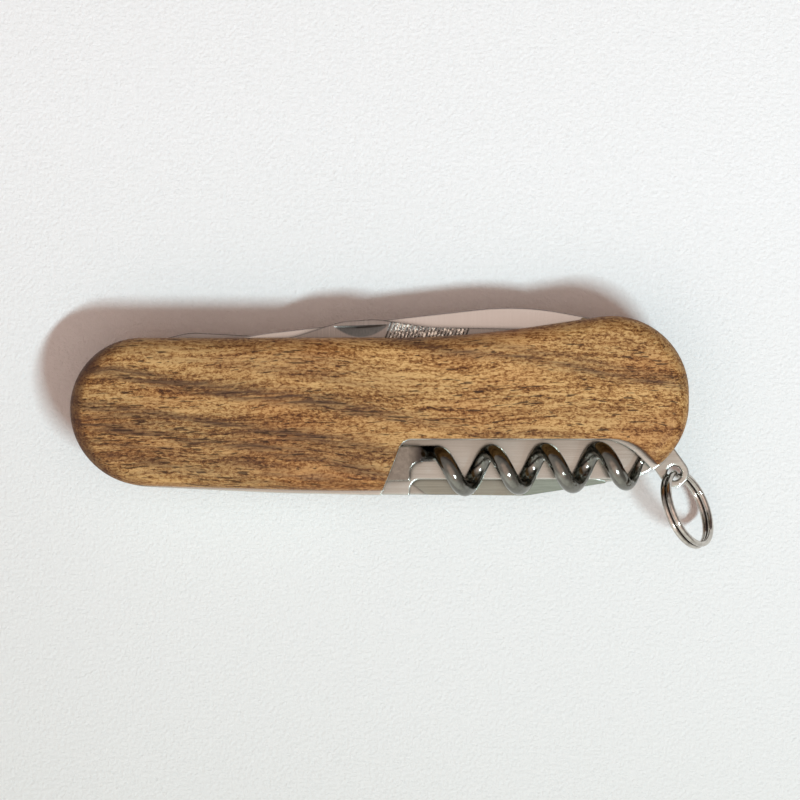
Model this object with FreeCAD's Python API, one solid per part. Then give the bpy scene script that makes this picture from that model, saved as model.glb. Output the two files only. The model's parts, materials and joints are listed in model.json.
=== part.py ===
import FreeCAD, Part
import math
import os

# Folding pocket knife with walnut scales, lying closed on its rear scale.
# Millimetres. X runs along the handle, Y across it towards the blade side, Z up through its thickness.
# The origin is the middle of the handle on the rear scale's outer face.

# Handle outline
HANDLE_LENGTH = 85.0
TOP_EDGE = 9.25            # height of the straight blade-side edge above the X axis
HUMP_TOP = 12.25           # crest of the swelling that covers the blade's tip
HUMP_RADIUS = 10.6
HUMP_SLOPE = 8.5           # degrees
DIP_RADIUS = 130.0         # hollow between the straight edge and the swelling
BACK_LEFT = 10.8           # depth of the back edge below the X axis, at the left end
BACK_BELLY = 11.95
BACK_BELLY_X = -1.0
BACK_RIGHT = 10.0
BACK_RADIUS = 300.0
LEFT_RADIUS = 9.9
LEFT_BACK_RADIUS = 10.7
RIGHT_BACK_RADIUS = 10.7
SCALE_ROUND = 2.3          # rounding of the scales' outer rim

# Layers, from the rear scale upwards
SCALE_THICK = 4.2
LINER_THICK = 0.6
REAR_LAYER = 2.6           # can opener, bottle opener and reamer
CENTRE_THICK = 1.0
FRONT_LAYER = 3.0          # blade, nail file and corkscrew

# Liners
LINER_INSET = 0.4          # how far the liners stay inside the scales, except along the back
LINER_BACK_LEFT = 10.8
LINER_SHOULDER = 12.15     # where the liners' back edge turns along the handle
LINER_SHOULDER_X = -14.0
LINER_SHOULDER_RADIUS = 120.0
LINER_BELLY = 12.85
LINER_BELLY_X = 18.0
LINER_BACK_RIGHT = 9.3
LINER_BELLY_RADIUS = 150.0
LINER_CORNER = 9.8

# Clearances
SIDE_GAP = 0.05            # between a tool and the liner beside it
RUN_GAP = 0.05             # radial, tool on its rivet
FIT_GAP = 0.02             # radial, fixed plate on its rivet
CAM_GAP = 0.12             # between a tool's tang and its spring
TOOL_GAP = 0.15            # between the blade and the nail file beside it

# Pivots and rivets
PIVOT_INSET = 6.6          # from the handle's end to a tool pivot
LEFT_PIVOT_Y = 0.2
RIVET_RADIUS = 1.4
TANG_RADIUS = 4.2
KICK = 4.4                 # length of the flat on a tool's back beside its tang
BUSH_RADIUS = 2.5
BUSH_HEIGHT = 1.0
BUSH_GAP = 0.1

# Back springs
SPRING_STRIP = 2.2         # depth of the spring above the corkscrew's pocket
SPRING_FLEX = 3.9          # depth of the spring along the left half of the back
SPRING_END = 3.0           # from the handle's end to the spring's end
SPRING_BLOCK = (-8.2, -3.0)   # left and right side of the block that the middle rivet holds
SPRING_RELIEF = 0.3        # how far the strip's top lies below the pad that the tang rides on
SPRING_HIDE = 0.25         # how far the strip stays behind the liner's edge

# Corkscrew and the pocket that it lies in
SCREW_PIVOT = (0.2, -8.0)
SCREW_PIN_RADIUS = 1.1
SCREW_TANG_RADIUS = 2.58
SCREW_TANG_LENGTH = 4.0
SCREW_NOSE = 1.7           # how much longer the tang is on the wire's side
SCREW_HOLLOW = 1.6         # hollow between the tang and its nose
WORM_DIAMETER = 7.1
WORM_WIRE = 2.25
WORM_TURNS = 3.85
WORM_STEPS = 16            # equal steps of up to a quarter turn that the worm is drawn in
WORM_START = 7.8           # from the pivot to the first turn
WORM_DROP = 1.35           # worm axis below the pivot
WORM_LIFT = 1.5            # degrees that the worm points up towards the blade side
WORM_END_GAP = 5.85        # from the handle's right end to the worm's point
WORM_TAPER_STEPS = 2       # steps that narrow to the point
WORM_POINT_RADIUS = 0.4
POCKET_GAP = 0.25          # room round the worm
POCKET_FLOOR_GAP = 0.25
POCKET_LEFT = 3.0          # from the screw's pivot to the pocket's top left corner
POCKET_LEAN = 0.39         # sideways run of the pocket's left edge for each unit of depth
POCKET_LEFT_ROUND = 1.8
POCKET_RIGHT = 8.0         # from the handle's right end to the pocket's top right corner
POCKET_RIGHT_ROUND = 7.0
POCKET_RIM = 0.35          # rounding of the scale's edge round the pocket
LINER_LIP = 0.2            # how far the front liner shows past the scale round the pocket
LINER_END_LIP = 0.8        # the same at the pocket's right end
LINER_LEFT_LIP = 0.08      # the same along the pocket's left edge

# Tools: how far each back stands proud of the scales' straight edge
BLADE_PROUD = 4.6
FILE_PROUD = 2.45
CAN_OPENER_PROUD = 0.85
BOTTLE_OPENER_PROUD = 1.5
EDGE_CLEARANCE = 1.2       # between a cutting edge and the spring under it
BLADE_THICK = 1.4
EDGE_THICK = 0.3
BLADE_TIP_GAP = 4.6        # along X, from the blade's tip to the far pivot
BLADE_TIP_PROUD = 2.4
BLADE_PEAK = 11.8          # from the blade's tip to the highest point of its back
BLADE_BACK_START = 18.5    # from the blade's pivot to where its back leaves the scales
BLADE_BACK_START_PROUD = 0.5
BLADE_BACK_RADIUS = 40.0
BLADE_HEEL = 12.5          # from the blade's pivot to the start of its cutting edge
BLADE_SWEEP = 12.5         # from the blade's tip to where its cutting edge sweeps up
BLADE_SWEEP_RADIUS = 22.0
BLADE_TANG_LOW = 3.4       # from the pivot down to the tang's lower edge
BEVEL = 3.0                # width of the ground bevels
FILE_TIP_GAP = 16.0        # along X, from the file's tip to the far pivot
FILE_CREST = 37.9          # from the file's pivot to the crest of its back
FILE_TANG_LOW = 3.2        # from the pivot down to the tang's lower edge
OPENER_TANG_LOW = 3.3      # the same on both openers
BOTTLE_OPENER_CREST = 25.0  # from the bottle opener's pivot to the crest of its back
BOTTLE_OPENER_BACK_RADIUS = 20.0
OPENER_EDGE_RISE = 0.2     # lower edge of the openers above that of the blade
KICK_RUN = 1.9             # slope from the tang's flat up to the tool's back
KICK_RISE = 2.2
KICK_ROUND = 1.5
OPENER_SPLIT = -2.2        # where the tips of the two openers meet
OPENER_GAP = 2.4           # between the tips of the two openers
DRIVER_Y = 4.6             # lower corner of the screwdriver tips above the X axis
DRIVER_WIDE = 4.8
DRIVER_NARROW = 3.0
DRIVER_TIP_THICK = 0.9
DRIVER_TAPER = 6.0
STRIPPER_RADIUS = 1.0      # wire stripper's notch in the bottle opener
NICK_DEPTH = 0.5
BLADE_NICK = (11.0, 1.7)   # length and width of the nail nicks
BLADE_NICK_BACK = 24.0     # from the blade's tip to the middle of its nick
BLADE_NICK_PROUD = 2.6
FILE_NICK = (7.6, 1.6)
OPENER_NICK = (8.0, 1.5)
FILE_LOW = 3.2             # lower edge of the file above the X axis
FILE_TEETH_START = 0.4     # from the file's crest to its first tooth
FILE_TEETH_LENGTH = 11.5
FILE_TOOTH_LEAN = 0.35     # sideways run of a tooth for each unit of its length
FILE_TOOTH_PITCH = 0.5
FILE_TOOTH_DEPTH = 0.12

# Reamer
REAMER_TIP_GAP = 9.9       # from the handle's right end to the reamer's tip
REAMER_TIP_RISE = 2.1      # tip above the liners' belly
REAMER_INSET = 0.2         # back above the liners' belly
REAMER_WIDTH = 5.6
REAMER_BEVEL = 2.0
REAMER_EDGE_THICK = 0.7
NOTCH_ROUND = 1.5
CENTRE_NOTCH = 2.5         # depth of the centre liner's cut-back that shows the reamer

# Key ring and the lug on the centre liner
LUG_RADIUS = 1.95
LUG_HOLE_RADIUS = 1.0
LUG_END = 1.5              # from the handle's right end to the hole
LUG_DROP = 9.5             # hole below the X axis
LUG_NECK = (3.0, 4.2)      # from the hole back to the neck's root, along X and Y
LUG_EDGE = 0.25            # rounding of the hole's rims
RING_DIAMETER = 11.4
RING_WIRE = 0.8
RING_COIL_GAP = 0.06
RING_HEADING = -66.0       # degrees, direction from the lug to the ring's middle
RING_LEAN = 60.5           # degrees between the ring's plane and the liners
RING_SLIDE = 10.0          # degrees round the ring from its near end to where it sits in the lug
RING_STEP = 14.0           # degrees on each side of the step between the two coils

# Values worked out from the sizes above
LEFT = -HANDLE_LENGTH / 2
RIGHT = HANDLE_LENGTH / 2
REAR_LINER_Z = SCALE_THICK
REAR_LAYER_Z = REAR_LINER_Z + LINER_THICK
CENTRE_Z = REAR_LAYER_Z + REAR_LAYER
FRONT_LAYER_Z = CENTRE_Z + CENTRE_THICK
FRONT_LINER_Z = FRONT_LAYER_Z + FRONT_LAYER
FRONT_SCALE_Z = FRONT_LINER_Z + LINER_THICK
TOTAL_THICK = FRONT_SCALE_Z + SCALE_THICK

WORM_RADIUS = (WORM_DIAMETER - WORM_WIRE) / 2
WORM_LENGTH = RIGHT - WORM_END_GAP - SCREW_PIVOT[0] - WORM_START
WORM_PITCH = WORM_LENGTH / WORM_TURNS
WORM_AXIS_Z = FRONT_LAYER_Z + POCKET_FLOOR_GAP + WORM_DIAMETER / 2
WORM_RISE = (WORM_START + WORM_LENGTH) * math.sin(math.radians(WORM_LIFT))
POCKET_TOP = SCREW_PIVOT[1] - WORM_DROP + WORM_DIAMETER / 2 + WORM_RISE + POCKET_GAP

STRIP_LOW = POCKET_TOP + SPRING_HIDE
STRIP_TOP = STRIP_LOW + SPRING_STRIP
LEFT_PIVOT = (LEFT + PIVOT_INSET, LEFT_PIVOT_Y)
RIGHT_PIVOT = (RIGHT - PIVOT_INSET, STRIP_TOP + CAM_GAP + TANG_RADIUS)
SPRING_PIVOT = (sum(SPRING_BLOCK) / 2, SCREW_PIVOT[1] + 1.4)
EDGE_Y = STRIP_TOP + EDGE_CLEARANCE
LUG = (RIGHT - LUG_END, -LUG_DROP)
BELOW = -HANDLE_LENGTH     # well outside the handle, for cutters


def vec(x, y, z=0.0):
    return FreeCAD.Vector(x, y, z)


def rounded_wire(corners, z=0.0):
    """Closed wire at height z through (x, y, radius) corners, each rounded by an arc that its sides have room for."""
    points = [vec(c[0], c[1], z) for c in corners]
    count = len(points)
    sides = [points[(i + 1) % count] - points[i] for i in range(count)]
    setbacks = []
    for i in range(count):
        turn = sides[i - 1].getAngle(sides[i])
        setbacks.append(corners[i][2] * math.tan(turn / 2))
    room = []
    for i in range(count):
        needed = setbacks[i] + setbacks[(i + 1) % count]
        room.append(min(1.0, 0.999 * sides[i].Length / needed) if needed > 0 else 1.0)
    starts, middles, ends = [], [], []
    for i in range(count):
        setback = setbacks[i] * min(room[i - 1], room[i])
        into, out = vec(*sides[i - 1]).normalize(), vec(*sides[i]).normalize()
        start, end = points[i] - into * setback, points[i] + out * setback
        middle = points[i]
        if setback > 0:
            half_turn = into.getAngle(out) / 2
            chord = (start + end) * 0.5
            bulge = setback * (1 - math.cos(half_turn)) / math.tan(half_turn)
            middle = chord + (points[i] - chord).normalize() * bulge
        starts.append(start)
        middles.append(middle)
        ends.append(end)
    edges = []
    for i in range(count):
        if (ends[i] - starts[i]).Length > 1e-6:
            edges.append(Part.Arc(starts[i], middles[i], ends[i]).toShape())
        following = starts[(i + 1) % count]
        if (following - ends[i]).Length > 1e-6:
            edges.append(Part.LineSegment(ends[i], following).toShape())
    return Part.Wire(edges)


def plate(corners, low, high):
    """Flat plate of the given rounded outline between two heights."""
    return Part.Face(rounded_wire(corners, low)).extrude(vec(0, 0, high - low))


def disc(centre, radius, low, high):
    return Part.makeCylinder(radius, high - low, vec(centre[0], centre[1], low))


def solid(shape):
    """The one solid in a boolean result, or a group when there are more."""
    clean = shape.removeSplitter()
    if len(clean.Solids) == 1:
        return clean.Solids[0]
    return Part.makeCompound(clean.Solids)


def wedge(start, end, width, face_z, depth, side):
    """Cutter for a bevel along start to end, widest on its left, that sinks from face_z to depth at the line."""
    along = vec(end[0] - start[0], end[1] - start[1]).normalize()
    inward = vec(-along.y, along.x)
    spare = 0.5
    slope = depth / width
    base = vec(start[0], start[1], face_z) - along * spare
    near = base + inward * width
    far = base - inward * spare
    sunk = far - vec(0, 0, side * slope * (width + spare))
    lifted = [near + vec(0, 0, side * spare), far + vec(0, 0, side * spare)]
    section = Part.makePolygon([near, sunk, lifted[1], lifted[0], near])
    length = math.hypot(end[0] - start[0], end[1] - start[1]) + 2 * spare
    return Part.Face(section).extrude(along * length)


def nail_nick(centre, length, width, face_z, side, lean):
    """Cutter for a crescent that is deepest along its upper edge; lean is the tilt of the tool's back in degrees."""
    radius = (length ** 2 / 4 + NICK_DEPTH ** 2) / (2 * NICK_DEPTH)
    axis_z = face_z + side * (radius - NICK_DEPTH)
    foot = vec(centre[0], centre[1] - width, axis_z)
    cutter = Part.makeCone(radius - NICK_DEPTH, radius, width, foot, vec(0, 1, 0))
    cutter.rotate(vec(centre[0], centre[1], axis_z), vec(0, 0, 1), lean)
    return cutter


def tool(pivot, outline, low, high, tang_low, tang_high):
    """Tool of one flat outline on a round tang, bored for its rivet."""
    body = plate(outline, low, high).fuse(disc(pivot, TANG_RADIUS, tang_low, tang_high))
    return body.cut(disc(pivot, RIVET_RADIUS + RUN_GAP, tang_low, tang_high))


def arc_from(start, tangent, end):
    """Arc that leaves start along a tangent and reaches end."""
    chord = end - start
    lean = tangent.getAngle(chord)
    if lean < 1e-6:
        return Part.LineSegment(start, end).toShape()
    aside = tangent - chord * (tangent.dot(chord) / chord.dot(chord))
    middle = start + chord * 0.5 + aside.normalize() * (chord.Length / 2 * math.tan(lean / 2))
    return Part.Arc(start, middle, end).toShape()


def biarc(start, start_way, end, end_way):
    """Two arcs that join start to end smoothly and keep both directions."""
    chord = end - start
    both = chord.dot(start_way + end_way)
    square = 2 * (start_way.dot(end_way) - 1)
    if abs(square) < 1e-9:
        reach = chord.dot(chord) / (2 * both)
    else:
        reach = (both - math.sqrt(both ** 2 - square * chord.dot(chord))) / square
    join = (start + start_way * reach + end - end_way * reach) * 0.5
    return [arc_from(start, start_way, join), arc_from(end, end_way * -1, join)]


def tube(edges, radius, end_radius=None):
    """Round wire along joined edges, narrowing to end_radius when one is given."""
    path = Part.Wire(edges)
    sections = []
    first, last = path.OrderedEdges[0], path.OrderedEdges[-1]
    way = first.tangentAt(first.FirstParameter)
    point = first.valueAt(first.FirstParameter)
    if first.Orientation == "Reversed":
        way = first.tangentAt(first.LastParameter) * -1
        point = first.valueAt(first.LastParameter)
    sections.append(Part.Wire(Part.makeCircle(radius, point, way)))
    if end_radius is not None:
        way = last.tangentAt(last.LastParameter)
        point = last.valueAt(last.LastParameter)
        if last.Orientation == "Reversed":
            way = last.tangentAt(last.FirstParameter) * -1
            point = last.valueAt(last.FirstParameter)
        sections.append(Part.Wire(Part.makeCircle(end_radius, point, way)))
    return path.makePipeShell(sections, True, False)


def handle_corners(inset, back):
    """Handle outline set in by inset at both ends and along the blade side, with the given back corners."""
    slope = math.radians(HUMP_SLOPE)
    radius = HUMP_RADIUS - inset
    meet_x = RIGHT - HUMP_RADIUS - radius * math.sin(slope)
    meet_y = HUMP_TOP - HUMP_RADIUS + radius * math.cos(slope)
    top = TOP_EDGE - inset
    return back + [
        (RIGHT - inset, meet_y + (RIGHT - inset - meet_x) * math.tan(slope), radius),
        (meet_x - (meet_y - top) / math.tan(slope), top, DIP_RADIUS),
        (LEFT + inset, top, LEFT_RADIUS - inset),
    ]


def scale_corners():
    return handle_corners(0.0, [
        (LEFT, -BACK_LEFT, LEFT_BACK_RADIUS),
        (BACK_BELLY_X, -BACK_BELLY, BACK_RADIUS),
        (RIGHT, -BACK_RIGHT, RIGHT_BACK_RADIUS),
    ])


def liner_corners():
    return handle_corners(LINER_INSET, [
        (LEFT + LINER_INSET, -LINER_BACK_LEFT, LEFT_BACK_RADIUS),
        (LINER_SHOULDER_X, -LINER_SHOULDER, LINER_SHOULDER_RADIUS),
        (LINER_BELLY_X, -LINER_BELLY, LINER_BELLY_RADIUS),
        (RIGHT - LINER_INSET, -LINER_BACK_RIGHT, LINER_CORNER),
    ])


def pocket_corners(lip, end_lip, left_lip):
    """Corkscrew's pocket, drawn in by lip along its top, by end_lip at its right end and by left_lip on its left."""
    top = POCKET_TOP - lip
    left = SCREW_PIVOT[0] + POCKET_LEFT + left_lip * math.hypot(1, POCKET_LEAN) - POCKET_LEAN * lip
    right = RIGHT - POCKET_RIGHT - end_lip * math.sqrt(2) + lip
    depth = top - BELOW
    return [
        (left - POCKET_LEAN * depth, BELOW, 0),
        (right + depth, BELOW, 0),
        (right, top, POCKET_RIGHT_ROUND),
        (left, top, POCKET_LEFT_ROUND),
    ]


def rim_edges(shape, z):
    return [e for e in shape.Edges if all(abs(v.Z - z) < 1e-6 for v in e.Vertexes)]


def halfway(edge):
    return Part.Vertex(edge.valueAt((edge.FirstParameter + edge.LastParameter) / 2))


def bush_recesses(low, high):
    return [disc(p, BUSH_RADIUS + BUSH_GAP, low, high) for p in (LEFT_PIVOT, RIGHT_PIVOT, SPRING_PIVOT)]


def make_scales():
    rear = plate(scale_corners(), 0.0, SCALE_THICK)
    rear = rear.makeFillet(SCALE_ROUND, rim_edges(rear, 0.0))
    rear = rear.cut(bush_recesses(SCALE_THICK - BUSH_HEIGHT - BUSH_GAP, SCALE_THICK))
    front = plate(scale_corners(), FRONT_SCALE_Z, TOTAL_THICK)
    front = front.makeFillet(SCALE_ROUND, rim_edges(front, TOTAL_THICK))
    pocket = plate(pocket_corners(0.0, 0.0, 0.0), FRONT_SCALE_Z, TOTAL_THICK)
    front = front.cut(pocket)
    brink = [e for e in rim_edges(front, TOTAL_THICK) if pocket.distToShape(halfway(e))[0] < 1e-4]
    front = front.makeFillet(POCKET_RIM, brink)
    front = front.cut(bush_recesses(FRONT_SCALE_Z, FRONT_SCALE_Z + BUSH_HEIGHT + BUSH_GAP))
    return {"rear_scale": rear, "front_scale": front}


def rivet_holes(low, high):
    holes = [disc(p, RIVET_RADIUS + FIT_GAP, low, high) for p in (LEFT_PIVOT, RIGHT_PIVOT, SPRING_PIVOT)]
    return holes + [disc(SCREW_PIVOT, SCREW_PIN_RADIUS + FIT_GAP, low, high)]


def make_liners():
    rear_top = REAR_LINER_Z + LINER_THICK
    rear = plate(liner_corners(), REAR_LINER_Z, rear_top).cut(rivet_holes(REAR_LINER_Z, rear_top))
    front_top = FRONT_LINER_Z + LINER_THICK
    front = plate(liner_corners(), FRONT_LINER_Z, front_top).cut(rivet_holes(FRONT_LINER_Z, front_top))
    front = front.cut(plate(pocket_corners(LINER_LIP, LINER_END_LIP, LINER_LEFT_LIP), FRONT_LINER_Z, front_top))
    centre_top = CENTRE_Z + CENTRE_THICK
    notch_top = CENTRE_NOTCH - LINER_BELLY
    notch_left = SCREW_PIVOT[0] + SCREW_TANG_LENGTH
    notch = [(notch_left, BELOW, 0), (RIGHT, BELOW, 0), (RIGHT, notch_top, 0), (notch_left, notch_top, NOTCH_ROUND)]
    centre = plate(liner_corners(), CENTRE_Z, centre_top).cut(plate(notch, CENTRE_Z, centre_top))
    root = vec(LUG[0] - LUG_NECK[0], LUG[1] + LUG_NECK[1])
    along = (vec(*LUG) - root).normalize()
    aside = vec(-along.y, along.x) * LUG_RADIUS
    ends = [root + aside, root - aside, vec(*LUG) - aside, vec(*LUG) + aside]
    neck = plate([(p.x, p.y, 0) for p in ends], CENTRE_Z, centre_top)
    centre = centre.fuse([neck, disc(LUG, LUG_RADIUS, CENTRE_Z, centre_top)]).removeSplitter()
    centre = centre.cut(rivet_holes(CENTRE_Z, centre_top) + [disc(LUG, LUG_HOLE_RADIUS, CENTRE_Z, centre_top)])
    eye = [e for e in centre.Edges if hasattr(e.Curve, "Radius") and abs(e.Curve.Radius - LUG_HOLE_RADIUS) < 1e-6]
    centre = centre.makeFillet(LUG_EDGE, [e for e in eye if e.Closed and len(e.Vertexes) == 1])
    return {"rear_liner": rear, "front_liner": front, "centre_liner": centre}


def spring(low, high):
    """Back spring for one layer: a left half along the back, a riveted block and a strip above the pocket."""
    pad_y = LEFT_PIVOT[1] - TANG_RADIUS - CAM_GAP
    flex_y = SPRING_FLEX - LINER_BELLY
    left, right = LEFT + SPRING_END, RIGHT - SPRING_END
    pad_right = LEFT_PIVOT[0] + TANG_RADIUS
    pad_left = RIGHT_PIVOT[0] - TANG_RADIUS
    block_left, block_right = SPRING_BLOCK
    pocket_right = pocket_corners(-SPRING_HIDE, -SPRING_HIDE, -SPRING_HIDE)[2]
    corners = [
        (left, BELOW, 0),
        (block_right, BELOW, 0),
        (block_right, STRIP_LOW, 0.8),
        pocket_right,
        (right, pocket_right[1] - (right - pocket_right[0]), 0),
        (right, STRIP_TOP, 0.8),
        (pad_left, STRIP_TOP, 0.6),
        (pad_left - 1.0, STRIP_TOP - SPRING_RELIEF, 0.6),
        (block_right, STRIP_TOP - SPRING_RELIEF, 2.0),
        (block_left, flex_y, 3.0),
        (pad_right + 2.0, flex_y, 1.5),
        (pad_right, pad_y, 0.8),
        (left, pad_y, 0.8),
    ]
    body = plate(corners, low, high).common(plate(liner_corners(), low, high))
    return body.cut(disc(SPRING_PIVOT, RIVET_RADIUS + FIT_GAP, low, high))


def make_springs():
    return {
        "rear_spring": spring(REAR_LAYER_Z, REAR_LAYER_Z + REAR_LAYER),
        "front_spring": spring(FRONT_LAYER_Z, FRONT_LAYER_Z + FRONT_LAYER),
    }


def make_rivets():
    low, high = REAR_LINER_Z - BUSH_HEIGHT, FRONT_SCALE_Z + BUSH_HEIGHT
    parts = {}
    for name, at in (("left", LEFT_PIVOT), ("right", RIGHT_PIVOT), ("spring", SPRING_PIVOT)):
        parts[name + "_rivet"] = disc(at, RIVET_RADIUS, low, high)
        bore = disc(at, RIVET_RADIUS + FIT_GAP, low, high)
        bushes = []
        for start, end in ((low, REAR_LINER_Z), (FRONT_SCALE_Z, high)):
            bushes.append(disc(at, BUSH_RADIUS, start, end).cut(bore))
        parts[name + "_rivet_bushes"] = Part.makeCompound(bushes)
    parts["corkscrew_pin"] = disc(SCREW_PIVOT, SCREW_PIN_RADIUS, REAR_LINER_Z, FRONT_SCALE_Z)
    return parts


def bevel(runs, width, low, high, edge_thick):
    """Cutters that thin a plate from both faces to edge_thick along a chain of points with the tool on its left."""
    sink = (high - low - edge_thick) / 2
    cutters = []
    for start, end in zip(runs, runs[1:]):
        cutters.append(wedge(start, end, width, high, sink, 1))
        cutters.append(wedge(start, end, width, low, sink, -1))
    return cutters


def make_blade():
    x, y = LEFT_PIVOT
    low = FRONT_LAYER_Z + SIDE_GAP
    high = low + BLADE_THICK
    tip = RIGHT_PIVOT[0] - BLADE_TIP_GAP
    point_y = TOP_EDGE + BLADE_TIP_PROUD
    heel = x + BLADE_HEEL
    kick = y + TANG_RADIUS - SIDE_GAP
    outline = [
        (x, kick, 0),
        (x + KICK, kick, 0.4),
        (x + KICK + KICK_RUN, kick + KICK_RISE, KICK_ROUND),
        (x + BLADE_BACK_START, TOP_EDGE + BLADE_BACK_START_PROUD, BLADE_BACK_RADIUS),
        (tip - BLADE_PEAK, TOP_EDGE + BLADE_PROUD, BLADE_BACK_RADIUS),
        (tip, point_y, 0),
        (tip - 3.0, EDGE_Y + 6.4, 9.0),
        (tip - BLADE_SWEEP, EDGE_Y, BLADE_SWEEP_RADIUS),
        (heel, EDGE_Y, 0.5),
        (heel - 1.2, y - 2.6, 0.8),
        (x + 4.0, y - BLADE_TANG_LOW, 1.0),
        (x, y - BLADE_TANG_LOW, 0),
    ]
    body = tool(LEFT_PIVOT, outline, low, high, low, FRONT_LINER_Z - SIDE_GAP)
    ground = [
        (heel + 1.0, EDGE_Y),
        (tip - 18.5, EDGE_Y),
        (tip - 13.5, EDGE_Y + 0.75),
        (tip - 9.3, EDGE_Y + 2.35),
        (tip - 5.9, EDGE_Y + 4.55),
        (tip - 3.3, EDGE_Y + 7.1),
        (tip, point_y),
    ]
    back_rise = BLADE_PROUD - BLADE_BACK_START_PROUD
    back_lean = math.degrees(math.atan2(back_rise, tip - BLADE_PEAK - x - BLADE_BACK_START))
    nick = nail_nick((tip - BLADE_NICK_BACK, TOP_EDGE + BLADE_NICK_PROUD), *BLADE_NICK, low, -1, back_lean)
    return body.cut(bevel(ground, BEVEL, low, high, EDGE_THICK) + [nick])


def make_file():
    x, y = RIGHT_PIVOT
    high = FRONT_LINER_Z - SIDE_GAP
    low = FRONT_LAYER_Z + SIDE_GAP + BLADE_THICK + TOOL_GAP
    tip = LEFT_PIVOT[0] + FILE_TIP_GAP
    kick = y + TANG_RADIUS - SIDE_GAP
    crest = x - FILE_CREST
    outline = [
        (x, kick, 0),
        (x - KICK, kick, 0.4),
        (x - KICK - KICK_RUN, kick + KICK_RISE, KICK_ROUND),
        (x - 16.0, TOP_EDGE + 1.25, 12.0),
        (crest + 9.0, TOP_EDGE + 1.45, 14.0),
        (crest + 1.5, TOP_EDGE + FILE_PROUD + 0.15, 9.0),
        (crest - 3.2, TOP_EDGE + FILE_PROUD - 0.15, 9.0),
        (crest - 10.0, TOP_EDGE + 0.1, 6.0),
        (tip, TOP_EDGE - 0.5, 0.4),
        (tip + 0.6, TOP_EDGE - 1.6, 0.4),
        (crest - 8.0, FILE_LOW + 1.6, 6.0),
        (crest - 2.0, FILE_LOW, 6.0),
        (x - 8.0, FILE_LOW, 2.0),
        (x - 5.0, y - FILE_TANG_LOW, 1.0),
        (x, y - FILE_TANG_LOW, 0),
    ]
    body = tool(RIGHT_PIVOT, outline, low, high, FRONT_LAYER_Z + SIDE_GAP, high)
    teeth = []
    run = TOP_EDGE + FILE_PROUD - FILE_LOW + 2.0
    count = int(FILE_TEETH_LENGTH / FILE_TOOTH_PITCH)
    for i in range(count):
        start = vec(crest + FILE_TEETH_START + i * FILE_TOOTH_PITCH, FILE_LOW - 1.0, high)
        half = vec(FILE_TOOTH_DEPTH, 0, 0)
        up = vec(0, 0, FILE_TOOTH_DEPTH)
        section = Part.makePolygon([start - half, start - up, start + half, start + up, start - half])
        teeth.append(Part.Face(section).extrude(vec(run * FILE_TOOTH_LEAN, run, 0)))
    nick = nail_nick((crest - 0.5, TOP_EDGE + FILE_PROUD - 0.75), *FILE_NICK, high, 1, 2.0)
    return body.cut(teeth).cut(nick)


def make_can_opener():
    x, y = LEFT_PIVOT
    low, high = REAR_LAYER_Z + SIDE_GAP, CENTRE_Z - SIDE_GAP
    tip = OPENER_SPLIT - OPENER_GAP / 2
    kick = y + TANG_RADIUS - SIDE_GAP
    back = TOP_EDGE + CAN_OPENER_PROUD
    beak = (tip - 11.0, EDGE_Y + 1.4)
    outline = [
        (x, kick, 0),
        (x + KICK, kick, 0.4),
        (x + KICK + 1.2, back - 0.9, 1.0),
        (x + KICK + 5.1, back, 8.0),
        (x + 20.5, back - 0.6, 14.0),
        (tip, DRIVER_Y + DRIVER_NARROW, 0.3),
        (tip, DRIVER_Y, 0.3),
        (tip - 6.0, DRIVER_Y - 0.5, 1.5),
        (tip - 9.0, DRIVER_Y - 0.1, 1.6),
        (beak[0], beak[1], 0.2),
        (tip - 17.5, EDGE_Y + OPENER_EDGE_RISE, 5.0),
        (x + 9.0, y - 1.4, 3.0),
        (x + 4.5, y - OPENER_TANG_LOW, 1.0),
        (x, y - OPENER_TANG_LOW, 0),
    ]
    body = tool(LEFT_PIVOT, outline, low, high, low, high)
    cutters = bevel([(tip - 17.0, EDGE_Y + 0.3), beak], 2.2, low, high, EDGE_THICK)
    cutters += driver_taper(tip, 1, low, high)
    cutters.append(nail_nick((x + 21.5, back - 1.7), *OPENER_NICK, low, -1, -8.0))
    return body.cut(cutters)


def driver_taper(tip, way, low, high):
    """Cutters that thin a screwdriver tip at x = tip from both faces; way is the direction that the tip points in."""
    sink = (high - low - DRIVER_TIP_THICK) / 2
    ends = [(tip, BELOW), (tip, -BELOW)]
    if way < 0:
        ends.reverse()
    return [wedge(ends[0], ends[1], DRIVER_TAPER, face, sink, side) for face, side in ((high, 1), (low, -1))]


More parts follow.
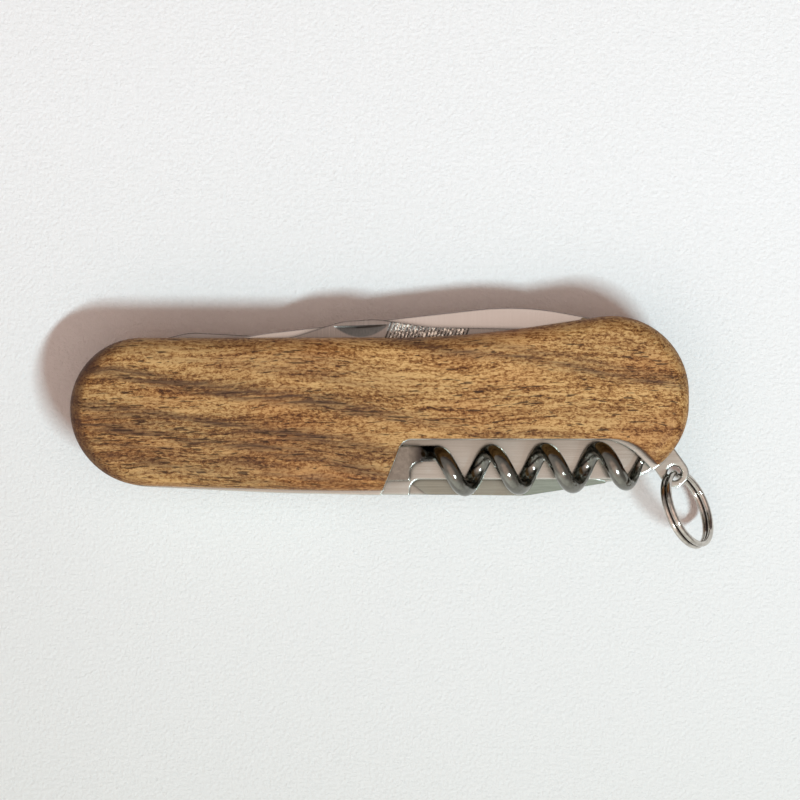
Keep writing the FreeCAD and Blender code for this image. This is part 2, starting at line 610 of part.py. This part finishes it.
def make_bottle_opener():
    x, y = RIGHT_PIVOT
    low, high = REAR_LAYER_Z + SIDE_GAP, CENTRE_Z - SIDE_GAP
    tip = OPENER_SPLIT + OPENER_GAP / 2
    kick = y + TANG_RADIUS - SIDE_GAP
    back = TOP_EDGE + BOTTLE_OPENER_PROUD
    outline = [
        (x, kick, 0),
        (x - KICK, kick, 0.4),
        (x - KICK - KICK_RUN, kick + KICK_RISE, KICK_ROUND),
        (x - 13.0, back - 0.4, 8.0),
        (x - BOTTLE_OPENER_CREST, back, BOTTLE_OPENER_BACK_RADIUS),
        (tip, DRIVER_Y + DRIVER_WIDE, 0.3),
        (tip, DRIVER_Y, 0.3),
        (tip + 7.0, DRIVER_Y - 1.4, 1.0),
        (tip + 9.4, DRIVER_Y - 0.9, 0.5),
        (tip + 9.6, DRIVER_Y + 1.6, 1.2),
        (tip + 15.5, DRIVER_Y + 2.2, 2.4),
        (tip + 18.6, EDGE_Y + OPENER_EDGE_RISE, 1.2),
        (x - 9.0, EDGE_Y + OPENER_EDGE_RISE, 2.0),
        (x - 4.5, y - OPENER_TANG_LOW, 1.0),
        (x, y - OPENER_TANG_LOW, 0),
    ]
    body = tool(RIGHT_PIVOT, outline, low, high, low, high)
    cutters = driver_taper(tip, -1, low, high)
    cutters.append(disc((x - 12.5, EDGE_Y + OPENER_EDGE_RISE), STRIPPER_RADIUS, low, high))
    cutters.append(nail_nick((tip + 9.5, back - 2.0), *OPENER_NICK, low, -1, 10.0))
    return body.cut(cutters)


def make_reamer():
    x, y = SCREW_PIVOT
    low, high = REAR_LAYER_Z + SIDE_GAP, CENTRE_Z - SIDE_GAP
    tip = (RIGHT - REAMER_TIP_GAP, REAMER_TIP_RISE - LINER_BELLY)
    back = REAMER_INSET - LINER_BELLY
    shoulder = (x + 20.3, back)
    outline = [
        (x, y + SCREW_TANG_RADIUS - 0.2, 0),
        (x + 7.0, y + SCREW_TANG_RADIUS - 0.6, 3.0),
        (x + 15.0, back + REAMER_WIDTH - 0.8, 20.0),
        (tip[0], tip[1], 0.2),
        (shoulder[0], shoulder[1], 6.0),
        (x + 6.4, back + 0.15, 1.5),
        (x + SCREW_TANG_LENGTH, y - SCREW_TANG_RADIUS - 0.1, 0.8),
        (x, y - SCREW_TANG_RADIUS + 0.1, 0),
    ]
    body = plate(outline, low, high).fuse(disc(SCREW_PIVOT, SCREW_TANG_RADIUS, low, high))
    ground = bevel([shoulder, tip], REAMER_BEVEL, low, high, REAMER_EDGE_THICK)
    return body.cut(ground + [disc(SCREW_PIVOT, SCREW_PIN_RADIUS + RUN_GAP, low, high)])


def worm_point(step):
    """Point and direction on the worm's centre line, so many steps from its start, with the screw's pivot as origin."""
    turn = 2 * math.pi * WORM_TURNS * step / WORM_STEPS
    advance = WORM_PITCH / (2 * math.pi)
    point = vec(
        WORM_START + advance * turn,
        WORM_RADIUS * math.cos(turn) - WORM_DROP,
        WORM_AXIS_Z + WORM_RADIUS * math.sin(turn),
    )
    way = vec(advance, -WORM_RADIUS * math.sin(turn), WORM_RADIUS * math.cos(turn))
    return point, way.normalize()


def make_corkscrew():
    low, high = FRONT_LAYER_Z + SIDE_GAP, FRONT_LINER_Z - SIDE_GAP
    radius = SCREW_TANG_RADIUS
    start, start_way = worm_point(0)
    nose = SCREW_TANG_LENGTH + SCREW_NOSE
    tang = plate([
        (-radius, -radius, radius),
        (SCREW_TANG_LENGTH, -radius, 0.3),
        (SCREW_TANG_LENGTH, start.y - WORM_WIRE / 2, SCREW_HOLLOW),
        (nose, start.y - WORM_WIRE / 2, 0),
        (nose, start.y + WORM_WIRE / 2, 0.3),
        (-radius, radius, radius),
    ], low, high)
    middle = (low + high) / 2
    climb = (start.z - middle) / start_way.z
    bend = vec(start.x - start_way.x * climb - climb, start.y, middle)
    path = [Part.LineSegment(vec(SCREW_TANG_LENGTH / 4, start.y, middle), bend).toShape()]
    path.append(arc_from(bend, vec(1, 0, 0), start))
    point_path = []
    for i in range(WORM_STEPS):
        here, way = worm_point(i)
        there, onward = worm_point(i + 1)
        target = path if i < WORM_STEPS - WORM_TAPER_STEPS else point_path
        target.extend(biarc(here, way, there, onward))
    wire = tube(path, WORM_WIRE / 2)
    point = tube(point_path, WORM_WIRE / 2, WORM_POINT_RADIUS)
    body = tang.fuse(wire).fuse(point)
    body = body.cut(disc((0.0, 0.0), SCREW_PIN_RADIUS + RUN_GAP, low, high))
    body.rotate(vec(0, 0, 0), vec(0, 0, 1), WORM_LIFT)
    body.translate(vec(*SCREW_PIVOT))
    return body


def make_key_ring():
    radius = (RING_DIAMETER - RING_WIRE) / 2
    offset = (RING_WIRE + RING_COIL_GAP) / 2
    step = math.radians(RING_STEP)
    spare = step / 4

    def at(angle, height):
        return vec(radius * math.cos(angle), radius * math.sin(angle), height)

    def way(angle):
        return vec(-math.sin(angle), math.cos(angle), 0)

    full = 2 * math.pi
    first = [step + spare, full / 2, full - step]
    second = [full + step, full * 1.5, 2 * full - step - spare]
    edges = [Part.Arc(*[at(a, -offset) for a in first]).toShape()]
    edges += biarc(at(first[2], -offset), way(first[2]), at(second[0], offset), way(second[0]))
    edges.append(Part.Arc(*[at(a, offset) for a in second]).toShape())
    ring = tube(edges, RING_WIRE / 2)
    heading, lean = math.radians(RING_HEADING), math.radians(RING_LEAN)
    out = vec(math.cos(heading), math.sin(heading))
    up = vec(out.y * math.cos(lean), -out.x * math.cos(lean), math.sin(lean))
    normal = out.cross(up)
    slide = math.radians(RING_SLIDE)
    centre = vec(LUG[0], LUG[1], CENTRE_Z + CENTRE_THICK / 2) + (out * math.cos(slide) + up * math.sin(slide)) * radius
    ring.rotate(vec(0, 0, 0), vec(0, 0, 1), 180 + RING_SLIDE)
    ring.Placement = FreeCAD.Placement(FreeCAD.Matrix(
        out.x, up.x, normal.x, centre.x,
        out.y, up.y, normal.y, centre.y,
        out.z, up.z, normal.z, centre.z,
        0, 0, 0, 1,
    )).multiply(ring.Placement)
    return ring


parts = {}
parts.update(make_scales())
parts.update(make_liners())
parts.update(make_springs())
parts.update(make_rivets())
parts["large_blade"] = make_blade()
parts["nail_file"] = make_file()
parts["can_opener"] = make_can_opener()
parts["bottle_opener"] = make_bottle_opener()
parts["corkscrew"] = make_corkscrew()
parts["reamer"] = make_reamer()
parts["key_ring"] = make_key_ring()

os.makedirs("parts", exist_ok=True)
for name, shape in parts.items():
    solid(shape).exportStep("parts/" + name + ".step")
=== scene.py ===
import json
import bpy
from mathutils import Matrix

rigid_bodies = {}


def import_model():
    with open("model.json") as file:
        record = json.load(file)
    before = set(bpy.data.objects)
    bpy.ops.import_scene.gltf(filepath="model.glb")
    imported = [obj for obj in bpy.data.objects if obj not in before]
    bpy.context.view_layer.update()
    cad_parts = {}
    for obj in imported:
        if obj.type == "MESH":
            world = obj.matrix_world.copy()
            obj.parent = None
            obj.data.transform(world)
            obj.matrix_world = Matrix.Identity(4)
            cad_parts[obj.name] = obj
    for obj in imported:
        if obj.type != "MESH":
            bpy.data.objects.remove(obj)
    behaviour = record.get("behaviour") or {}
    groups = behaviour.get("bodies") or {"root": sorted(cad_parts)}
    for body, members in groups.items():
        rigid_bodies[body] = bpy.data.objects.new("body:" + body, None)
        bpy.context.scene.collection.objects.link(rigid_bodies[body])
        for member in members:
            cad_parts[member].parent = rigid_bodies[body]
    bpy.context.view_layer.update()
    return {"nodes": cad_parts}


for leftover in list(bpy.data.objects):
    bpy.data.objects.remove(leftover)
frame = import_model()
nodes = frame["nodes"]
scene = bpy.context.scene

MM = 0.001

# Picture: the camera looks straight down, and this many millimetres at outline height fill its width
PICTURE_WIDTH = 109.86
PICTURE_CENTRE = (2.815, 0.687)
OUTLINE_HEIGHT = 14.0
CAMERA_DISTANCE = 450.0
SENSOR = 36.0

# Places on the knife that a look follows, in millimetres
KNIFE_TOP = 16.2
TOOTH_SLANT = 0.35
TOOTH_ZONE = (-2.2, 8.6)
TOOTH_FADE = 0.4
BEND_ZONE = (3.9, 9.2)
BEND_RISE = 1.6
BEND_FALL = 2.0

# Streaks in the wood: their slope along the handle and through it, and how far they are spread each way
STREAK_SLOPE = 0.159
STREAK_DEPTH = 0.45
STREAK_REACH = 15.0

# Streaks as (distance across the grain, darkness): those that fade towards the right, and those that stay
LEFT_STREAKS = [
    (-14.6, 0.40), (-13.4, 0.65), (-12.4, 0.35), (-11.2, 0.60), (-10.0, 0.25), (-8.9, 0.90), (-8.0, 0.50),
    (-6.8, 0.55), (-5.8, 0.90), (-4.8, 0.35), (-3.4, 0.20), (-2.4, 0.15), (-1.5, 0.80), (-0.7, 0.95),
    (0.2, 0.45), (1.0, 0.15), (2.0, 0.40), (4.6, 0.35), (6.5, 0.00),
]
RIGHT_STREAKS = [
    (8.4, 0.00), (9.2, 0.35), (9.8, 0.85), (10.4, 0.30), (11.1, 0.50), (11.8, 0.10), (13.0, 0.15),
]

# Lines in worked steel: features for each millimetre along X, Y and Z
ALONG_X = (0.10, 7.0, 7.0)
ACROSS = (6.0, 0.10, 6.0)
FINE_ACROSS = (11.0, 0.15, 11.0)
EVEN = (1.6, 1.6, 1.6)

# Light: a panel in metres and watts, and the colours of the room
PANEL_SIZE = (0.16, 0.032)
PANEL_PLACE = (0.262, -0.262, 0.745)
PANEL_ENERGY = 5.1
PANEL_COLOUR = (0.72, 0.92, 1.0)
CEILING = (1.06, 0.845, 0.755, 1.0)
WALLS = (0.24, 0.16, 0.142, 1.0)
MIRRORED_WALLS = (0.46, 0.43, 0.41, 1.0)
MIRRORED_FAR_WALL = (0.15, 0.11, 0.105, 1.0)
MIRRORED_NEAR_WALL = (0.95, 0.97, 0.92, 1.0)

FLOOR_HALF = 0.9


def linear(red, green, blue):
    """Shader colour for a colour given as 0 to 255."""
    out = []
    for value in (red, green, blue):
        value /= 255
        out.append(value / 12.92 if value <= 0.04045 else ((value + 0.055) / 1.055) ** 2.4)
    return (*out, 1.0)


class Shader:
    """One procedural material, built node by node, with sizes in millimetres."""

    def __init__(self, name):
        self.material = bpy.data.materials.new(name)
        self.material.use_nodes = True
        self.tree = self.material.node_tree
        self.tree.nodes.clear()
        self.bsdf = self.tree.nodes.new("ShaderNodeBsdfPrincipled")
        output = self.tree.nodes.new("ShaderNodeOutputMaterial")
        self.tree.links.new(self.bsdf.outputs["BSDF"], output.inputs["Surface"])
        place = self.tree.nodes.new("ShaderNodeTexCoord")
        self.normal = place.outputs["Normal"]
        self.place = self.vector("SCALE", place.outputs["Object"], scale=1 / MM)

    def feed(self, socket, value):
        if isinstance(value, bpy.types.NodeSocket):
            self.tree.links.new(value, socket)
        elif value is not None:
            socket.default_value = value

    def set(self, **values):
        """Sets or links inputs of the surface shader, named with underscores for spaces."""
        for name, value in values.items():
            self.feed(self.bsdf.inputs[name.replace("_", " ")], value)

    def math(self, operation, first, second=None, third=None, clamp=False):
        node = self.tree.nodes.new("ShaderNodeMath")
        node.operation = operation
        node.use_clamp = clamp
        for socket, value in zip(node.inputs, (first, second, third)):
            self.feed(socket, value)
        return node.outputs[0]

    def vector(self, operation, first, second=None, scale=None):
        node = self.tree.nodes.new("ShaderNodeVectorMath")
        node.operation = operation
        self.feed(node.inputs[0], first)
        self.feed(node.inputs[1], second)
        self.feed(node.inputs[3], scale)
        return node.outputs[0]

    def split(self, vector):
        node = self.tree.nodes.new("ShaderNodeSeparateXYZ")
        self.feed(node.inputs[0], vector)
        return node.outputs

    def noise(self, per_mm, detail=2.0, roughness=0.5, distortion=0.0, place=None, colour=False):
        """Noise with its own number of features for each millimetre along X, Y and Z."""
        node = self.tree.nodes.new("ShaderNodeTexNoise")
        self.feed(node.inputs["Vector"], self.vector("MULTIPLY", place or self.place, per_mm))
        self.feed(node.inputs["Scale"], 1.0)
        self.feed(node.inputs["Detail"], detail)
        self.feed(node.inputs["Roughness"], roughness)
        self.feed(node.inputs["Distortion"], distortion)
        return node.outputs["Color" if colour else "Fac"]

    def span(self, value, low, high, to_low=0.0, to_high=1.0, smooth=False):
        """Value mapped from low..high, and held there, to to_low..to_high."""
        node = self.tree.nodes.new("ShaderNodeMapRange")
        node.interpolation_type = "SMOOTHSTEP" if smooth else "LINEAR"
        node.clamp = True
        for socket, number in zip(node.inputs, (value, low, high, to_low, to_high)):
            self.feed(socket, number)
        return node.outputs[0]

    def ramp(self, value, stops):
        """Colours between stops of (position, colour)."""
        node = self.tree.nodes.new("ShaderNodeValToRGB")
        self.feed(node.inputs[0], value)
        band = node.color_ramp
        while len(band.elements) < len(stops):
            band.elements.new(0.5)
        for element, (position, colour) in zip(band.elements, stops):
            element.position = position
            element.color = colour
        return node.outputs[0]

    def mix(self, amount, first, second, blend="MIX"):
        node = self.tree.nodes.new("ShaderNodeMix")
        node.data_type = "RGBA"
        node.blend_type = blend
        self.feed(node.inputs["Factor"], amount)
        self.feed(node.inputs[6], first)
        self.feed(node.inputs[7], second)
        return node.outputs[2]

    def edges(self, radius):
        """Normal rounded over edges within radius, and a mask that is 1 on those edges."""
        rounded = self.tree.nodes.new("ShaderNodeBevel")
        rounded.samples = 6
        self.feed(rounded.inputs["Radius"], radius * MM)
        flat = self.tree.nodes.new("ShaderNodeNewGeometry")
        turn = self.tree.nodes.new("ShaderNodeVectorMath")
        turn.operation = "DOT_PRODUCT"
        self.feed(turn.inputs[0], rounded.outputs[0])
        self.feed(turn.inputs[1], flat.outputs["Normal"])
        return rounded.outputs[0], self.span(turn.outputs["Value"], 0.985, 0.80, smooth=True)

    def seams(self, reach, clear=0.75, tight=0.2):
        """1 where surfaces within reach leave the tight share of the sky, 0 where they leave the clear."""
        node = self.tree.nodes.new("ShaderNodeAmbientOcclusion")
        node.samples = 6
        self.feed(node.inputs["Distance"], reach * MM)
        return self.span(node.outputs["AO"], clear, tight)

    def bump(self, height, strength, depth, normal=None):
        node = self.tree.nodes.new("ShaderNodeBump")
        self.feed(node.inputs["Height"], height)
        self.feed(node.inputs["Strength"], strength)
        self.feed(node.inputs["Distance"], depth * MM)
        self.feed(node.inputs["Normal"], normal)
        self.set(Normal=node.outputs[0])


def grey(value):
    return (value, value, value, 1.0)


def walnut():
    """Oiled walnut: warm fibres, dark streaks that slope along the handle, short pores, and a rim darkened by
    end grain and by painted shade.
    """
    wood = Shader("walnut")
    wander = wood.noise((0.03, 0.07, 0.07), 2.0, 0.5, colour=True)
    wander = wood.vector("SUBTRACT", wander, (0.5, 0.5, 0.5))
    place = wood.vector("ADD", wood.place, wood.vector("MULTIPLY", wander, (0.0, 5.0, 3.0)))
    x, y, z = wood.split(place)
    across = wood.math("MULTIPLY_ADD", x, STREAK_SLOPE, y)
    across = wood.math("MULTIPLY_ADD", z, STREAK_DEPTH, across)
    middle = KNIFE_TOP * STREAK_DEPTH
    across = wood.span(across, middle - STREAK_REACH, middle + STREAK_REACH)

    def streaked(marks):
        stops = [((distance + STREAK_REACH) / (2 * STREAK_REACH), grey(dark)) for distance, dark in marks]
        return wood.ramp(across, stops)

    fade = wood.span(x, -12.0, 14.0, 1.0, 0.35, smooth=True)
    streaks = wood.math("MULTIPLY_ADD", streaked(LEFT_STREAKS), fade, streaked(RIGHT_STREAKS))

    strands = wood.noise((0.08, 0.9, 0.9), 4.0, 0.62, 0.3, place)
    fibres = wood.noise((0.30, 3.0, 3.0), 3.0, 0.6, 0.2, place)
    flecks = wood.noise((1.6, 3.4, 3.4), 3.0, 0.78, 0.5, place)
    tone = wood.math("MULTIPLY", strands, 0.30)
    tone = wood.math("MULTIPLY_ADD", fibres, 0.18, tone)
    tone = wood.math("MULTIPLY_ADD", flecks, 0.52, tone)
    colour = wood.ramp(tone, [
        (0.405, linear(84, 49, 22)),
        (0.455, linear(140, 93, 48)),
        (0.50, linear(181, 135, 80)),
        (0.56, linear(218, 175, 115)),
    ])
    warmth = wood.noise((0.05, 0.12, 0.12), 2.0, 0.5, place=place)
    colour = wood.mix(wood.span(warmth, 0.45, 0.68, 0.0, 0.6), colour, linear(232, 196, 176), "MULTIPLY")

    broken = wood.noise((0.16, 2.2, 2.2), 3.0, 0.65, 0.5, place)
    shade = wood.math("MULTIPLY", streaks, wood.span(broken, 0.34, 0.60, 0.35, 1.2), clamp=True)
    colour = wood.mix(wood.math("MULTIPLY", shade, 0.92), colour, linear(84, 58, 42))

    grain = wood.noise((0.48, 3.6, 3.6), 1.5, 0.5, 0.25, place)
    many = wood.span(streaks, 0.1, 0.8, 0.0, 0.05)
    clusters = wood.span(wood.noise((0.06, 0.15, 0.15), 1.0, 0.5, place=place), 0.4, 0.6, -0.03, 0.03)
    grain = wood.math("ADD", grain, wood.math("ADD", many, clusters))
    pores = wood.span(grain, 0.635, 0.685, smooth=True)
    colour = wood.mix(wood.math("MULTIPLY", pores, 0.8), colour, linear(54, 32, 18))

    nx, ny, nz = wood.split(wood.normal)
    # Rim darkening: the slight darkening on the right end stands for end grain. On the left end it is partly
    # end grain and mostly painted shade, and on the top edge it is painted shade: both face away from the
    # light.
    rim = wood.span(wood.math("ABSOLUTE", nz), 0.992, 0.95, smooth=True)
    end_grain_and_painted_shade = wood.math("ADD", wood.span(nx, -0.05, -0.5, 0.0, 0.66), wood.span(nx, 0.1, 0.7, 0.0, 0.15))
    end_grain_and_painted_shade = wood.math("ADD", end_grain_and_painted_shade, wood.span(ny, 0.1, 0.6, 0.0, 0.2))
    colour = wood.mix(wood.math("MULTIPLY", rim, end_grain_and_painted_shade, clamp=True), colour, linear(74, 50, 40))
    wood.set(Base_Color=colour)
    wood.set(Roughness=wood.span(tone, 0.35, 0.65, 0.62, 0.46))
    wood.set(Specular_IOR_Level=0.15)
    relief = wood.math("MULTIPLY_ADD", pores, -0.8, wood.math("MULTIPLY", tone, 0.7))
    wood.bump(relief, 0.35, 0.09)
    return wood.material


def painted_tooth_glints(metal, base):
    """Painted glints: near-white specks on the slanted teeth of the nail file, where their crests would catch
    the light.
    """
    x, y, z = metal.split(metal.place)
    along = metal.math("MULTIPLY_ADD", y, -TOOTH_SLANT, x)
    start, end = TOOTH_ZONE
    first = metal.span(along, start, start + TOOTH_FADE)
    last = metal.span(along, end, end - TOOTH_FADE)
    glint_noise = metal.noise((3.2, 2.6, 2.6), 2.0, 0.7, 0.6)
    glint_mask = metal.math("MULTIPLY", metal.math("MULTIPLY", first, last), metal.span(glint_noise, 0.50, 0.58))
    # Painted glints mixed into the file's colour.
    return metal.mix(glint_mask, base, linear(238, 232, 220))


def painted_wire_shade(metal, base):
    """Painted shade and dark reflection on the corkscrew's wire, darkest where it bends out of the tang."""
    x, y, z = metal.split(metal.place)
    start, end = BEND_ZONE
    begun = metal.span(x, start, start + BEND_RISE)
    bend_shade = metal.math("MULTIPLY", begun, metal.span(x, end, end - BEND_FALL, 0.0, 0.63))
    # Painted shade: the wire's colour darkened towards near black, most of all at its bend.
    return metal.mix(metal.math("MULTIPLY_ADD", begun, 0.22, bend_shade), base, linear(44, 40, 40))


def steel(name, colour, rough, lines, depth=0.002, tint=0.08, edge=0.12, seam=0.75, finish=None):
    """Worked steel: fine lines along one way, faint smudges, worn edges, and painted shade in recesses and
    between parts.

    Depth is that of the lines and edge the width of the worn edges, in millimetres. Tint is the share by
    which the lines darken the colour, seam the strength of the painted shade between parts, and finish a last
    change of colour.
    """
    metal = Shader(name)
    brushed = metal.noise(lines, 3.0, 0.6)
    smudge = metal.noise((0.11, 0.16, 0.16), 3.0, 0.55, 0.6)
    worn = metal.noise((1.1, 1.1, 1.1), 2.0, 0.6)
    dark = tuple(c * (1 - tint) for c in colour[:3]) + (1.0,)
    bright = tuple(min(1.0, c * 1.25) for c in colour[:3]) + (1.0,)
    rounded, rim = metal.edges(edge)
    base = metal.mix(metal.span(brushed, 0.35, 0.65), dark, colour)
    base = metal.mix(metal.span(smudge, 0.5, 0.75, 0.0, 0.4), base, dark)
    base = metal.mix(metal.math("MULTIPLY", rim, metal.span(worn, 0.35, 0.6, 0.2, 0.7)), base, bright)
    # Painted shade: a brownish darkening where nearby surfaces within 4 mm shade the steel.
    painted_recess_shade = metal.math("MULTIPLY", metal.seams(4.0), seam * 0.6)
    base = metal.mix(painted_recess_shade, base, linear(96, 90, 76))
    # Painted shade, near black, in the narrow gaps between parts, standing also for grime there.
    gap_shade_and_grime = metal.math("MULTIPLY", metal.seams(0.7, 0.85, 0.45), seam)
    base = metal.mix(gap_shade_and_grime, base, linear(34, 28, 25))
    if finish:
        base = finish(metal, base)
    metal.set(Base_Color=base, Metallic=1.0)
    level = metal.span(smudge, 0.35, 0.7, rough - 0.03, rough + 0.04)
    level = metal.math("ADD", level, metal.span(brushed, 0.3, 0.7, -0.02, 0.02))
    level = metal.math("ADD", level, metal.span(worn, 0.55, 0.75, 0.0, 0.03), clamp=True)
    level = metal.math("MULTIPLY_ADD", rim, 0.15, level)
    metal.set(Roughness=level)
    metal.bump(brushed, 0.3, depth, rounded)
    return metal.material


looks = {
    "walnut": walnut(),
    "liner": steel("liner_steel", linear(183, 185, 178), 0.17, ALONG_X, tint=0.14, edge=0.4),
    # The front liner: the liners' steel painted lighter, a painted highlight along the strip it shows below
    # the handle, with weaker painted shade between parts.
    "painted_highlight_liner": steel(
        "bright_liner_steel", linear(203, 205, 198), 0.17, ALONG_X,
        tint=0.14, edge=0.3, seam=0.45,
    ),
    "spring": steel("spring_steel", linear(182, 183, 178), 0.16, ALONG_X),
    "blade": steel("blade_steel", linear(197, 195, 191), 0.15, FINE_ACROSS, depth=0.001, tint=0.05, edge=0.3),
    "file": steel(
        "file_steel", linear(146, 141, 137), 0.20, ACROSS,
        depth=0.004, tint=0.25, edge=0.25, finish=painted_tooth_glints,
    ),
    "can_opener": steel("can_opener_steel", linear(140, 136, 133), 0.20, ALONG_X, tint=0.2, edge=0.3),
    "tool": steel("tool_steel", linear(184, 183, 179), 0.17, ACROSS),
    "reamer": steel("reamer_steel", linear(150, 155, 145), 0.18, ALONG_X, tint=0.2),
    "dark": steel(
        "dark_steel", linear(148, 146, 138), 0.11, EVEN,
        tint=0.25, edge=0.5, seam=0.25, finish=painted_wire_shade,
    ),
    "rivet": steel("rivet_steel", linear(178, 176, 172), 0.22, EVEN),
    "brass": steel("bush_brass", linear(180, 150, 86), 0.24, EVEN),
    "chrome": steel("ring_chrome", linear(208, 201, 192), 0.11, EVEN, tint=0.3, edge=0.05),
}

dress = {
    "walnut": ["front_scale", "rear_scale"],
    "liner": ["centre_liner", "rear_liner"],
    "painted_highlight_liner": ["front_liner"],
    "spring": ["front_spring", "rear_spring"],
    "blade": ["large_blade"],
    "file": ["nail_file"],
    "can_opener": ["can_opener"],
    "tool": ["bottle_opener"],
    "reamer": ["reamer"],
    "dark": ["corkscrew"],
    "rivet": ["left_rivet", "right_rivet", "spring_rivet", "corkscrew_pin"],
    "brass": ["left_rivet_bushes", "right_rivet_bushes", "spring_rivet_bushes"],
    "chrome": ["key_ring"],
}
for look, names in dress.items():
    for name in names:
        for slot in nodes[name].material_slots:
            slot.material = looks[look]


def floor():
    """Pale table top with a faint speckle, and painted light that brightens it towards the top and right."""
    shader = Shader("pale_floor")
    speckle = shader.noise((1.3, 1.3, 1.3), 3.0, 0.6)
    drift = shader.noise((0.012, 0.012, 0.012), 1.0, 0.5)
    x, y, z = shader.split(shader.place)
    # Painted light: the table's colour brightens towards the top and a little towards the right, with a slow
    # wobble.
    painted_light_slant = shader.math("MULTIPLY_ADD", x, 0.15, y)
    painted_light_slant = shader.math("MULTIPLY_ADD", drift, 20.0, painted_light_slant)
    colour = shader.mix(shader.span(painted_light_slant, -60.0, 45.0), linear(226, 226, 221), linear(252, 252, 251))
    colour = shader.mix(shader.span(speckle, 0.35, 0.65, 0.0, 0.3), colour, linear(236, 236, 233))
    shader.set(Base_Color=colour, Roughness=0.75, Specular_IOR_Level=0.2)
    shader.bump(shader.noise((2.0, 2.0, 2.0), 3.0, 0.6), 0.9, 0.25)
    mesh = bpy.data.meshes.new("floor")
    half = FLOOR_HALF
    corners = [(-half, -half, 0), (half, -half, 0), (half, half, 0), (-half, half, 0)]
    mesh.from_pydata(corners, [], [(0, 1, 2, 3)])
    mesh.materials.append(shader.material)
    plane = bpy.data.objects.new("floor", mesh)
    scene.collection.objects.link(plane)


def key_light():
    """Soft panel from the corkscrew's side and the ring's end, facing the handle."""
    lamp = bpy.data.lights.new("key", "AREA")
    lamp.shape = "RECTANGLE"
    lamp.size, lamp.size_y = PANEL_SIZE
    lamp.energy = PANEL_ENERGY
    lamp.color = PANEL_COLOUR
    panel = bpy.data.objects.new("key", lamp)
    panel.location = PANEL_PLACE
    panel.rotation_euler = panel.location.to_track_quat("Z", "Y").to_euler()
    scene.collection.objects.link(panel)


def surroundings():
    """Soft room: a bright ceiling, and dim, warm walls.

    Metal mirrors paler walls than those that light the table: dark low down on the blade side, and bright on
    the corkscrew's side.
    """
    world = bpy.data.worlds.new("room")
    scene.world = world
    world.use_nodes = True
    tree = world.node_tree
    tree.nodes.clear()
    place = tree.nodes.new("ShaderNodeTexCoord")

    def towards(direction):
        """How far a ray points in the given direction, from -1 to 1."""
        node = tree.nodes.new("ShaderNodeVectorMath")
        node.operation = "DOT_PRODUCT"
        node.inputs[1].default_value = direction
        tree.links.new(place.outputs["Generated"], node.inputs[0])
        return node.outputs["Value"]

    def within(direction, start, end):
        """0 to 1 as rays turn from start to end in the given direction."""
        node = tree.nodes.new("ShaderNodeMapRange")
        node.interpolation_type = "SMOOTHSTEP"
        node.inputs[1].default_value = start
        node.inputs[2].default_value = end
        tree.links.new(towards(direction), node.inputs[0])
        return node.outputs[0]

    def mixed(amount, first, second):
        node = tree.nodes.new("ShaderNodeMix")
        node.data_type = "RGBA"
        tree.links.new(amount, node.inputs["Factor"])
        for socket, colour in zip(node.inputs[6:8], (first, second)):
            if isinstance(colour, bpy.types.NodeSocket):
                tree.links.new(colour, socket)
            else:
                socket.default_value = colour
        return node.outputs[2]

    ray = tree.nodes.new("ShaderNodeLightPath")
    mirrored = mixed(within((0.0, 0.8, -0.6), 0.10, 0.45), MIRRORED_WALLS, MIRRORED_FAR_WALL)
    mirrored = mixed(within((0.0, -1.0, 0.0), 0.30, 0.80), mirrored, MIRRORED_NEAR_WALL)
    walls = mixed(ray.outputs["Is Glossy Ray"], WALLS, mirrored)
    room = mixed(within((-0.05, -0.15, 0.987), 0.70, 0.94), walls, CEILING)
    level = tree.nodes.new("ShaderNodeMath")
    level.operation = "MULTIPLY_ADD"
    level.inputs[1].default_value = 0.5
    level.inputs[2].default_value = 1.0
    tree.links.new(towards((-0.6, -0.3, 0.0)), level.inputs[0])
    back = tree.nodes.new("ShaderNodeBackground")
    tree.links.new(room, back.inputs["Color"])
    tree.links.new(level.outputs[0], back.inputs["Strength"])
    output = tree.nodes.new("ShaderNodeOutputWorld")
    tree.links.new(back.outputs[0], output.inputs["Surface"])


def camera():
    data = bpy.data.cameras.new("camera")
    data.sensor_width = SENSOR
    data.lens = SENSOR * CAMERA_DISTANCE / PICTURE_WIDTH
    data.clip_start = 0.01
    eye = bpy.data.objects.new("camera", data)
    x, y = PICTURE_CENTRE
    eye.location = (x * MM, y * MM, (OUTLINE_HEIGHT + CAMERA_DISTANCE) * MM)
    scene.collection.objects.link(eye)
    scene.camera = eye


floor()
key_light()
surroundings()
camera()
scene.view_settings.view_transform = "Standard"
